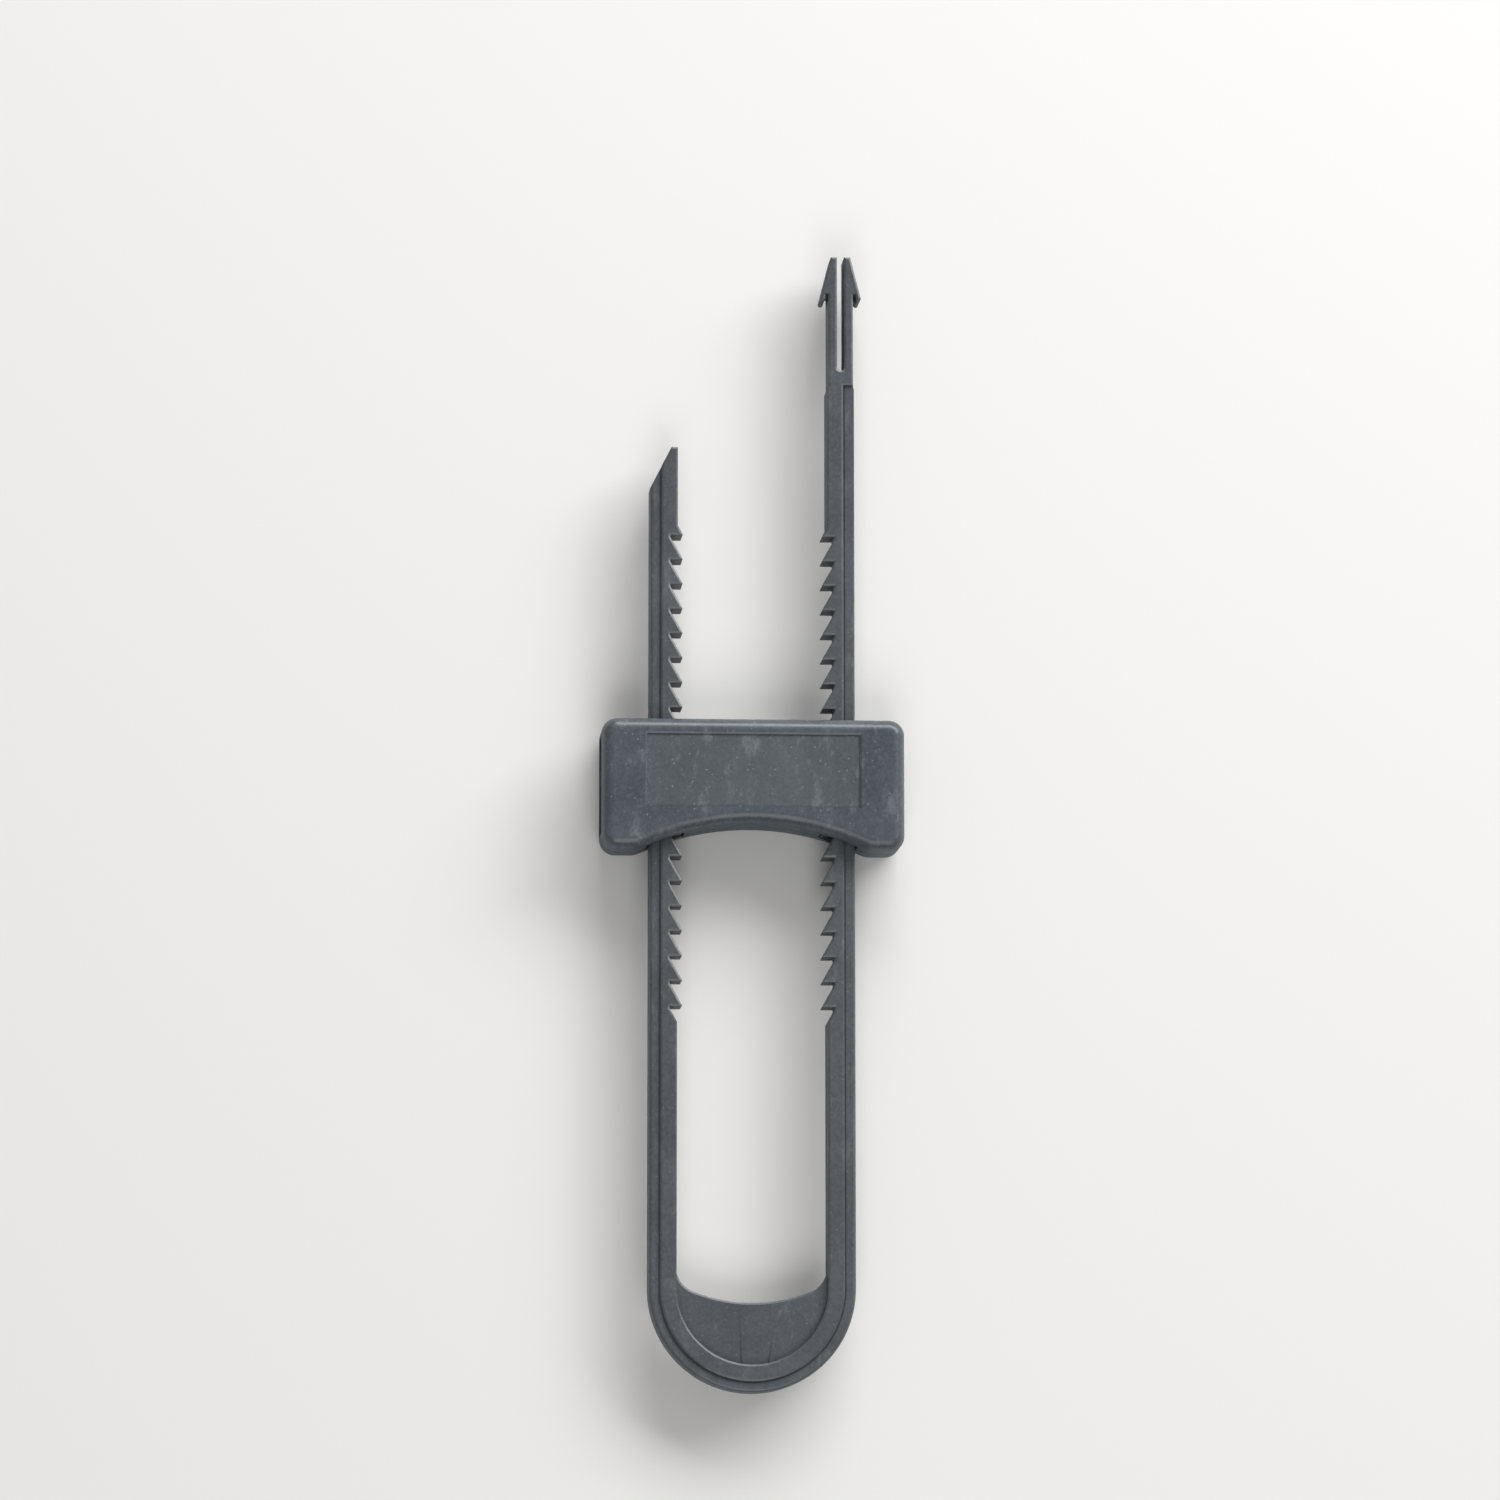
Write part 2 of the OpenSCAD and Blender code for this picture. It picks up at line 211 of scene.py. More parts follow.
def only(piece):
    """Selects one piece and nothing else."""
    bpy.ops.object.select_all(action="DESELECT")
    piece.select_set(True)
    bpy.context.view_layer.objects.active = piece


def draw(name, moves, z):
    """Draws a flat face from point to point. A move is a point (x, reach), or an arc that is spun from
    the last point: (centre x, centre reach, degrees), counted anticlockwise."""
    bpy.ops.object.select_all(action="DESELECT")
    bpy.ops.mesh.primitive_plane_add(size=MM)
    piece = bpy.context.object
    piece.name = name
    bpy.ops.object.mode_set(mode="EDIT")
    bpy.ops.mesh.select_mode(type="VERT")
    bpy.ops.mesh.merge(type="CENTER")
    pen = Vector(moves[0])
    bpy.ops.transform.translate(value=at(*pen, z))
    for move in moves[1:] + moves[:1]:
        if len(move) == 3:
            centre = Vector(move[:2])
            turn = math.radians(move[2])
            length = (pen - centre).length * abs(turn)
            steps = math.ceil(min(abs(move[2]) / ARC_STEP, length / ARC_CHORD))
            # The operator turns clockwise
            bpy.ops.mesh.spin(steps=steps, angle=-turn, center=at(*centre, z), axis=(0, 0, 1))
            pen = centre + Matrix.Rotation(turn, 2) @ (pen - centre)
        else:
            step = (Vector(move) - pen) * MM
            bpy.ops.mesh.extrude_region_move(TRANSFORM_OT_translate={"value": (*step, 0)})
            pen = Vector(move)
    bpy.ops.mesh.select_all(action="SELECT")
    bpy.ops.mesh.remove_doubles(threshold=WELD * MM)
    bpy.ops.mesh.edge_face_add()
    bpy.ops.object.mode_set(mode="OBJECT")
    return piece


def pick(piece, kind, test):
    """Opens a piece for editing with only the faces or edges selected that pass a test."""
    only(piece)
    bpy.ops.object.mode_set(mode="EDIT")
    bpy.ops.mesh.select_mode(type=kind)
    bpy.ops.mesh.select_all(action="DESELECT")
    shape = bmesh.from_edit_mesh(piece.data)
    shape.normal_update()
    for part in list(shape.faces if kind == "FACE" else shape.edges):
        part.select_set(test(part))
    bmesh.update_edit_mesh(piece.data)


def level(part, z):
    """Whether a face or an edge lies at one height."""
    return all(abs(corner.co.z - z * MM) < WELD * MM for corner in part.verts)


def is_sharp(edge):
    """Whether the two faces at an edge meet at a clear angle."""
    return edge.calc_face_angle(0) > SHARP_ANGLE


def push(piece, test, height):
    """Extrudes the faces that pass a test along Z, and turns the solid's faces outwards."""
    pick(piece, "FACE", test)
    bpy.ops.mesh.extrude_region_move(TRANSFORM_OT_translate={"value": (0, 0, height * MM)})
    bpy.ops.mesh.select_all(action="SELECT")
    bpy.ops.mesh.normals_make_consistent(inside=False)
    bpy.ops.object.mode_set(mode="OBJECT")


def block(corner, opposite):
    """A block between two opposite corners (x, reach, z), in either order."""
    corner, opposite = at(*corner), at(*opposite)
    sides = [abs(length) for length in opposite - corner]
    bpy.ops.object.select_all(action="DESELECT")
    bpy.ops.mesh.primitive_cube_add(size=1, location=(corner + opposite) / 2, scale=sides)
    bpy.ops.object.transform_apply()
    return bpy.context.object


def rod(start, end, diameter, sides=ROD_SIDES):
    """A round rod between two points (x, reach, z)."""
    start, end = at(*start), at(*end)
    axis = end - start
    bpy.ops.object.select_all(action="DESELECT")
    bpy.ops.mesh.primitive_cylinder_add(vertices=sides, radius=diameter / 2 * MM, depth=axis.length,
                                        location=(start + end) / 2,
                                        rotation=axis.to_track_quat("Z", "Y").to_euler())
    bpy.ops.object.transform_apply()
    return bpy.context.object


def combine(piece, operation, tool):
    """Joins another solid to a piece, or cuts it out, and deletes that solid."""
    only(piece)
    bpy.ops.object.modifier_add(type="BOOLEAN")
    change = piece.modifiers[-1]
    change.operation = operation
    change.object = tool
    bpy.ops.object.modifier_apply(modifier=change.name)
    bpy.data.objects.remove(tool)


def bevel(piece, test, width, segments):
    """Rounds the edges that pass a test, or with one segment chamfers them."""
    pick(piece, "EDGE", test)
    bpy.ops.mesh.bevel(offset=width * MM, segments=segments, affect="EDGES")
    bpy.ops.object.mode_set(mode="OBJECT")


def ease(piece, test):
    """Eases the edges of flat faces that pass a test with a low chamfer, which catches the light."""
    pick(piece, "FACE", test)
    bpy.ops.mesh.inset(thickness=CHAMFER_WIDTH * MM, depth=CHAMFER_DEPTH * MM)
    bpy.ops.object.mode_set(mode="OBJECT")


def smooth(piece):
    """Shades a piece smooth over its rounded edges, with its flat faces left flat."""
    only(piece)
    bpy.ops.object.shade_smooth_by_angle(angle=SMOOTH_ANGLE)
    bpy.ops.object.modifier_add(type="WEIGHTED_NORMAL")
    shading = piece.modifiers[-1]
    shading.keep_sharp = True
    bpy.ops.object.modifier_apply(modifier=shading.name)


# Bar

def tooth_edge(side):
    """Points of the toothed edge of the right leg, or of the left one, from the bend upwards."""
    faces = [TOOTH_START + i * TOOTH_PITCH for i in range(TOOTH_COUNT)]
    points = [(LEG_PLAIN, TOOTH_START - TOOTH_FLAT - (TOOTH_ROOT - LEG_PLAIN) * TOOTH_RUN)]
    for face in faces:
        points += [(TOOTH_ROOT, face - TOOTH_FLAT), (TOOTH_ROOT, face), (TOOTH_TIP, face)]
    points.append((LEG_PLAIN, faces[-1] + (LEG_PLAIN - TOOTH_TIP) * TOOTH_RUN))
    return [(side * x, reach) for x, reach in points]


def prong_edge():
    """Moves round the right half of the split tip, from its root to the split, with x counted from the
    middle of the leg. The barb hangs down as a lip with a round end, past a round notch."""
    shank = (LEG_OUTER - LEG_PLAIN) / 2 - TIP_STEP
    hook = BAR_LENGTH - BARB_LENGTH
    notch_top = hook + NOTCH_DEPTH - NOTCH_WIDTH / 2
    lip_radius = (BARB_OUT - NOTCH_WIDTH) / 2
    lip_x = shank + BARB_OUT - lip_radius
    slope = math.atan2(lip_x + lip_radius - TIP_END_WIDTH / 2, BARB_LENGTH - lip_radius)
    slope_start = (lip_x + lip_radius * math.cos(slope), hook + lip_radius + lip_radius * math.sin(slope))
    return [(shank, TIP_START), (shank, notch_top), (shank + NOTCH_WIDTH / 2, notch_top, -180),
            (shank + NOTCH_WIDTH, notch_top), (shank + NOTCH_WIDTH, hook + lip_radius),
            (lip_x, hook + lip_radius, 180 + math.degrees(slope)), slope_start,
            (TIP_END_WIDTH / 2, BAR_LENGTH), (SPLIT_WIDTH / 2, BAR_LENGTH),
            (SPLIT_WIDTH / 2, BAR_LENGTH - SPLIT_DEPTH + SPLIT_WIDTH / 2)]


def on_outside(place):
    """Whether a place is on the outer edge of the bar, along a leg or round the bend."""
    reach = place.y / MM - BEND_Y
    return reach < TIP_START and math.hypot(place.x / MM, min(reach - LEG_OUTER, 0)) > LEG_OUTER - WELD


def is_tooth_corner(edge):
    """Whether an edge is an upright corner of the toothed edges."""
    foot, head = (corner.co / MM for corner in edge.verts)
    upright = (head - foot).xy.length < WELD
    return upright and is_sharp(edge) and abs(foot.x) < TOOTH_ROOT + WELD and foot.y - BEND_Y < TIP_START


def make_bar():
    """The bar: a lower band round the outside, a raised band with the teeth inside it, a fine groove along
    the step between them, and the web."""
    thin = LEG_THICK - 2 * BAND_STEP
    base = MIDDLE - thin / 2
    slant_meets_band = SHORT_REACH - SLANT_LENGTH * (BAND_INNER - LEG_PLAIN - POINT_WIDTH) / (
        LEG_OUTER - LEG_PLAIN - POINT_WIDTH)
    leg_middle = (LEG_OUTER + LEG_PLAIN) / 2
    right_prong = [(leg_middle + move[0], *move[1:]) for move in prong_edge()]
    left_prong = [(leg_middle - move[0], *move[1:]) for move in reversed(prong_edge())]
    raised = draw("bar_moulding", [
        (BAND_INNER, LEG_OUTER), (BAND_INNER, TIP_START), *right_prong,
        (leg_middle, right_prong[-1][1], -180), *left_prong,
        (LEG_PLAIN, TIP_START - TIP_SLOPE), *reversed(tooth_edge(1)),
        (LEG_PLAIN, LEG_OUTER), (0, LEG_OUTER, -180), *tooth_edge(-1),
        (-LEG_PLAIN, SHORT_REACH), (-LEG_PLAIN - POINT_WIDTH, SHORT_REACH),
        (-BAND_INNER, slant_meets_band), (-BAND_INNER, LEG_OUTER), (0, LEG_OUTER, 180)], base)
    band = draw("outer_band", [
        (BAND_INNER, LEG_OUTER), (BAND_INNER, TIP_START), right_prong[0],
        (LEG_OUTER, TIP_START - TIP_SLOPE), (LEG_OUTER, LEG_OUTER), (0, LEG_OUTER, -180),
        (-LEG_OUTER, SHORT_REACH - SLANT_LENGTH), (-BAND_INNER, slant_meets_band),
        (-BAND_INNER, LEG_OUTER), (0, LEG_OUTER, 180)], base)
    only(raised)
    band.select_set(True)
    bpy.ops.object.join()
    pick(raised, "FACE", lambda face: True)
    bpy.ops.mesh.remove_doubles(threshold=WELD * MM)
    bpy.ops.object.mode_set(mode="OBJECT")
    push(raised, lambda face: True, thin)
    # The toothed face has the most corners
    most_corners = max(len(face.vertices) for face in raised.data.polygons)
    raised_step = BAND_STEP - CHAMFER_DEPTH
    push(raised, lambda face: len(face.verts) == most_corners and level(face, base + thin), raised_step)
    push(raised, lambda face: len(face.verts) == most_corners and level(face, base), -raised_step)
    ease(raised, lambda face: len(face.verts) == most_corners and abs(face.normal.z) > FLAT)
    bevel(raised, lambda edge: all(on_outside(corner.co) for corner in edge.verts) and (
        level(edge, base) or level(edge, base + thin)), BAND_ROUNDING, segments=4)
    bevel(raised, is_tooth_corner, TOOTH_ROUNDING, segments=2)
    combine(raised, "UNION", make_web())
    groove_height = GROOVE_DEPTH + OVERLAP
    for z in (base + thin - GROOVE_DEPTH, base - OVERLAP):
        groove = draw("groove", [
            (BAND_INNER - OVERLAP, LEG_OUTER), (BAND_INNER - OVERLAP, TIP_START),
            (BAND_INNER + GROOVE_WIDTH, TIP_START), (BAND_INNER + GROOVE_WIDTH, LEG_OUTER),
            (0, LEG_OUTER, -180), (-BAND_INNER - GROOVE_WIDTH, SHORT_REACH),
            (-BAND_INNER + OVERLAP, SHORT_REACH), (-BAND_INNER + OVERLAP, LEG_OUTER),
            (0, LEG_OUTER, 180)], z)
        push(groove, lambda face: True, groove_height)
        combine(raised, "DIFFERENCE", groove)
    smooth(raised)
    return raised


def make_web():
    """The web that fills the bend, sunk into the bar all round its lower edge."""
    sunk = LEG_PLAIN + WEB_SINK
    corner_x = LEG_PLAIN + WEB_CORNER_SINK - WEB_CORNER
    hollow_reach = WEB_REACH + WEB_RADIUS
    corner_reach = hollow_reach - math.sqrt((WEB_RADIUS - WEB_CORNER) ** 2 - corner_x ** 2)
    corner_turn = math.degrees(math.atan2(hollow_reach - corner_reach, corner_x))
    web = draw("web", [
        (sunk, corner_reach), (sunk, LEG_OUTER), (0, LEG_OUTER, -180), (-sunk, corner_reach),
        (-corner_x - WEB_CORNER, corner_reach), (-corner_x, corner_reach, corner_turn),
        (0, hollow_reach, 180 - 2 * corner_turn), (corner_x, corner_reach, corner_turn)],
        MIDDLE - WEB_THICK / 2 + CHAMFER_DEPTH)
    push(web, lambda face: True, WEB_THICK - 2 * CHAMFER_DEPTH)
    ease(web, lambda face: abs(face.normal.z) > FLAT)
    return web


# Slider

def shell_outline(name):
    """The slider's outline: round corners, and a hollow lower edge between two lobes."""
    x = SLIDER_HALF - SHELL_CORNER
    low = SLIDER_LOW + SHELL_CORNER
    high = SLIDER_HIGH - SHELL_CORNER
    hollow_reach = HOLLOW_TOP - HOLLOW_RADIUS
    lobe_reach = SLIDER_LOW + LOBE_ROUNDING
    lobe_x = math.sqrt((HOLLOW_RADIUS + LOBE_ROUNDING) ** 2 - (lobe_reach - hollow_reach) ** 2)
    lobe_turn = math.degrees(math.atan2(lobe_x, lobe_reach - hollow_reach))
    return draw(name, [
        (lobe_x, SLIDER_LOW), (x, SLIDER_LOW), (x, low, 90), (SLIDER_HALF, high), (x, high, 90),
        (-x, SLIDER_HIGH), (-x, high, 90), (-SLIDER_HALF, low), (-x, low, 90), (-lobe_x, SLIDER_LOW),
        (-lobe_x, lobe_reach, lobe_turn), (0, hollow_reach, -2 * lobe_turn),
        (lobe_x, lobe_reach, lobe_turn)], MIDDLE)


def is_slot_rim(edge):
    """Whether an edge is the rim of a leg's slot, on the slider's upper side or in its hollow."""
    for corner in edge.verts:
        x, reach = corner.co.x / MM, corner.co.y / MM - BEND_Y
        off_hollow = math.hypot(x, reach - HOLLOW_TOP + HOLLOW_RADIUS) - HOLLOW_RADIUS
        if reach < SLIDER_HIGH - WELD and abs(off_hollow) > ARC_CHORD / 2:
            return False
    off_seam = max(abs(corner.co.z / MM - MIDDLE) for corner in edge.verts)
    return is_sharp(edge) and off_seam > SEAM_DEPTH + WELD


def make_shell(name, side):
    """A hollow shell of the slider, in front of the parting plane (side 1) or behind it (side -1)."""
    shell = shell_outline(name)
    outside = MIDDLE + side * SHELL_DEPTH
    push(shell, lambda face: True, side * SHELL_DEPTH)
    bevel(shell, lambda edge: level(edge, outside), SHELL_RIM, segments=8)
    bevel(shell, lambda edge: level(edge, MIDDLE), SEAM_DEPTH, segments=1)
    pick(shell, "FACE", lambda face: level(face, MIDDLE))
    bpy.ops.mesh.inset(thickness=(SHELL_WALL - SEAM_DEPTH) * MM)
    bpy.ops.object.mode_set(mode="OBJECT")
    # The face inside the wall has more corners than the faces of the wall
    push(shell, lambda face: level(face, MIDDLE) and len(face.verts) > 4, side * CAVITY_DEPTH)
    slot_half = LEG_THICK / 2 + SLOT_GAP
    pad_half = PAD_THICK / 2 + PAD_GAP
    pad_reach = PAD_HEIGHT / 2 + PAD_GAP
    for hand in (-1, 1):
        combine(shell, "DIFFERENCE", block(
            (hand * (TOOTH_TIP - SLOT_GAP), SLIDER_LOW - OVERSHOOT, MIDDLE - slot_half),
            (hand * (LEG_OUTER + SLOT_GAP), SLIDER_HIGH + OVERSHOOT, MIDDLE + slot_half)))
        combine(shell, "DIFFERENCE", block(
            (hand * FLANGE_INNER, SLIDER_MID - pad_reach, MIDDLE - pad_half),
            (hand * (SLIDER_HALF + OVERSHOOT), SLIDER_MID + pad_reach, MIDDLE + pad_half)))
    bevel(shell, is_slot_rim, SLOT_ROUNDING, segments=2)
    return shell


def make_panel_space():
    """The space over the sunk panel, with a low slope along its rim, apart from the lower side."""
    panel_top = SLIDER_HIGH - PANEL_DROP
    slope_z = cover_high.z - CHAMFER_DEPTH
    space = block((-PANEL_WIDTH / 2, panel_top - PANEL_HEIGHT, cover_high.z - PANEL_DEPTH),
                  (PANEL_WIDTH / 2, panel_top, slope_z))
    push(space, lambda face: level(face, slope_z), CHAMFER_DEPTH)
    pick(space, "FACE", lambda face: level(face, cover_high.z))
    bpy.ops.transform.resize(
        value=(1 + 2 * CHAMFER_WIDTH / PANEL_WIDTH, 1 + CHAMFER_WIDTH / PANEL_HEIGHT, 1),
        center_override=at(0, panel_top - PANEL_HEIGHT, cover_high.z))
    bpy.ops.object.mode_set(mode="OBJECT")
    push(space, lambda face: level(face, cover_high.z), OVERSHOOT)
    return space


def make_front_shell():
    """The front shell, with the sunk panel and the sockets for the pegs."""
    shell = make_shell("front_shell", 1)
    combine(shell, "DIFFERENCE", make_panel_space())
    for x, reach in PEG_PLACES:
        top = MIDDLE + CAVITY_DEPTH + SOCKET_SINK
        combine(shell, "UNION", rod((x, reach, MIDDLE), (x, reach, top), SOCKET_DIAMETER))
        combine(shell, "DIFFERENCE", rod(
            (x, reach, MIDDLE - OVERSHOOT), (x, reach, MIDDLE + PEG_LENGTH + PEG_GAP),
            PEG_DIAMETER + 2 * PEG_GAP))
    smooth(shell)
    return shell


def make_rear_shell():
    """The rear shell, with the pegs, and the rib and spigots that carry the springs."""
    shell = make_shell("rear_shell", -1)
    floor = MIDDLE - CAVITY_DEPTH - SOCKET_SINK
    for x, reach in PEG_PLACES:
        combine(shell, "UNION", rod((x, reach, floor), (x, reach, MIDDLE), SOCKET_DIAMETER))
        combine(shell, "UNION", rod((x, reach, floor), (x, reach, MIDDLE + PEG_LENGTH), PEG_DIAMETER))
    combine(shell, "UNION", block(
        (-RIB_HALF, HOLLOW_TOP + SHELL_WALL / 2, floor), (RIB_HALF, SLIDER_HIGH - SHELL_WALL / 2, MIDDLE)))
    rib = block((-RIB_HALF, SLIDER_MID - ARM_WIDTH / 2, MIDDLE - OVERSHOOT),
                (RIB_HALF, SLIDER_MID + ARM_WIDTH / 2, MIDDLE + FLANGE_HALF))
    x, reach = PEG_PLACES[-1]
    combine(rib, "DIFFERENCE", rod((x, reach, MIDDLE), (x, reach, MIDDLE + SHELL_DEPTH),
                                   SOCKET_DIAMETER + 2 * SLOT_GAP))
    combine(shell, "UNION", rib)
    spigot_end = RIB_HALF + SPIGOT_LENGTH
    combine(shell, "UNION", rod(
        (-spigot_end, SLIDER_MID, MIDDLE), (spigot_end, SLIDER_MID, MIDDLE), SPIGOT_DIAMETER))
    smooth(shell)
    return shell


# Buttons

def make_button(name, hand):
    """A release button on the right (hand 1) or the left (hand -1): pad, flange, arms, pawl and spigot."""
    button = block((hand * (FLANGE_OUTER - JOIN), SLIDER_MID - PAD_HEIGHT / 2, MIDDLE - PAD_THICK / 2),
                   (hand * PAD_OUTER, SLIDER_MID + PAD_HEIGHT / 2, MIDDLE + PAD_THICK / 2))
    button.name = name
    bevel(button, lambda edge: abs(edge.verts[0].co.x - edge.verts[1].co.x) > WELD * MM,
          PAD_ROUNDING, segments=6)
    thumb_radius = (THUMB_HEIGHT ** 2 / 4 + THUMB_DEPTH ** 2) / (2 * THUMB_DEPTH)
    thumb_x = hand * (PAD_OUTER + thumb_radius - THUMB_DEPTH)
    combine(button, "DIFFERENCE", rod((thumb_x, SLIDER_MID, MIDDLE - PAD_THICK),
                                      (thumb_x, SLIDER_MID, MIDDLE + PAD_THICK), 2 * thumb_radius,
                                      DISH_SIDES))
    combine(button, "UNION", block(
        (hand * FLANGE_INNER, SLIDER_MID - FLANGE_HEIGHT / 2, MIDDLE - FLANGE_HALF),
        (hand * FLANGE_OUTER, SLIDER_MID + FLANGE_HEIGHT / 2, MIDDLE + FLANGE_HALF)))
    frame_of_arms = block((hand * BLOCK_INNER, SLIDER_MID - ARM_WIDTH / 2, MIDDLE - FLANGE_HALF),
                          (hand * (FLANGE_INNER + JOIN), SLIDER_MID + ARM_WIDTH / 2, MIDDLE + FLANGE_HALF))
    combine(frame_of_arms, "DIFFERENCE", block(
        (hand * BLOCK_OUTER, SLIDER_MID - ARM_WIDTH, MIDDLE - ARM_INNER),
        (hand * FLANGE_INNER, SLIDER_MID + ARM_WIDTH, MIDDLE + ARM_INNER)))
    combine(button, "UNION", frame_of_arms)
    pawl = draw("pawl", [
        (hand * (BLOCK_OUTER - JOIN), PAWL_REACH), (hand * PAWL_TIP, PAWL_REACH),
        (hand * PAWL_TIP, PAWL_REACH - PAWL_NOSE), (hand * BLOCK_OUTER, PAWL_REACH - PAWL_ROOT),
        (hand * (BLOCK_OUTER - JOIN), PAWL_REACH - PAWL_ROOT)], MIDDLE - ARM_INNER - JOIN)
    push(pawl, lambda face: True, 2 * ARM_INNER + 2 * JOIN)
    combine(button, "UNION", pawl)
    combine(button, "UNION", rod((hand * (BLOCK_INNER - SPIGOT_LENGTH), SLIDER_MID, MIDDLE),
                                 (hand * (BLOCK_INNER + JOIN), SLIDER_MID, MIDDLE), SPIGOT_DIAMETER))
    bevel(button, is_sharp, BUTTON_ROUNDING, segments=3)
    smooth(button)
    return button


# Springs

def make_coil(name, hand):
    """A spring of round wire with closed end turns, wound point by point along X."""
    start = coil_low.x + WIRE_DIAMETER / 2
    length = coil_high.x - coil_low.x - WIRE_DIAMETER
    closed = CLOSED_TURNS * WIRE_DIAMETER
    bpy.ops.object.select_all(action="DESELECT")
    bpy.ops.curve.primitive_nurbs_path_add()
    coil = bpy.context.object
    coil.name = name
    coil.data.splines.clear()
    wire = coil.data.splines.new("POLY")
    wire.points.add(COIL_TURNS * POINTS_A_TURN)
    for i, point in enumerate(wire.points):
        turn = i / POINTS_A_TURN
        if turn < CLOSED_TURNS:
            along = turn * WIRE_DIAMETER
        elif turn > COIL_TURNS - CLOSED_TURNS:
            along = length - (COIL_TURNS - turn) * WIRE_DIAMETER
        else:
            along = closed + (length - 2 * closed) * (turn - CLOSED_TURNS) / (COIL_TURNS - 2 * CLOSED_TURNS)
        angle = 2 * math.pi * turn
        point.co = (*at(hand * (start + along), SLIDER_MID + COIL_RADIUS * math.cos(angle),
                        MIDDLE + COIL_RADIUS * math.sin(angle)), 1)
    coil.data.bevel_depth = WIRE_DIAMETER / 2 * MM
    coil.data.bevel_resolution = 3
    coil.data.use_fill_caps = True
    bpy.ops.object.convert(target="MESH")
    pick(coil, "FACE", lambda face: True)
    bpy.ops.mesh.remove_doubles(threshold=WELD * MM)
    bpy.ops.mesh.normals_make_consistent(inside=False)
    bpy.ops.object.mode_set(mode="OBJECT")
    bpy.ops.object.shade_smooth_by_angle(angle=WIRE_SMOOTH_ANGLE)
    return coil


# Materials

BLACK = (0, 0, 0, 1)
# How strongly rubs, scratches and specks of dust show at a wear of 1
RUB_STRENGTH = 0.58
STREAK_STRENGTH = 1
SPECK_STRENGTH = 0.7


def linear(colour):
    """The linear colour of an sRGB hex value."""
    shares = [int(colour[i:i + 2], 16) / 255 for i in (1, 3, 5)]
    return [*(s / 12.92 if s <= 0.04045 else ((s + 0.055) / 1.055) ** 2.4 for s in shares), 1]


def add(tree, kind, inputs, **settings):
    """Adds a node with its settings. Each input is a value, or the output that it is linked to."""
    made = tree.nodes.new("ShaderNode" + kind)
    for name, value in settings.items():
        setattr(made, name, value)
    for name, value in inputs.items():
        if isinstance(value, bpy.types.NodeSocket):
            tree.links.new(value, made.inputs[name])
        else:
            made.inputs[name].default_value = value
    return made


def mix(tree, factor, under, over):
    """A mix of two colours. The colours of the node are its inputs 6 and 7, and its output 2."""
    return add(tree, "Mix", {0: factor, 6: under, 7: over}, data_type="RGBA").outputs[2]


def multiply(tree, first, second):
    """The product of two values."""
    return add(tree, "Math", {0: first, 1: second}, operation="MULTIPLY").outputs[0]


def per(size):
    """The scale of a pattern whose features are so many millimetres wide."""
    return 1 / (size * MM)


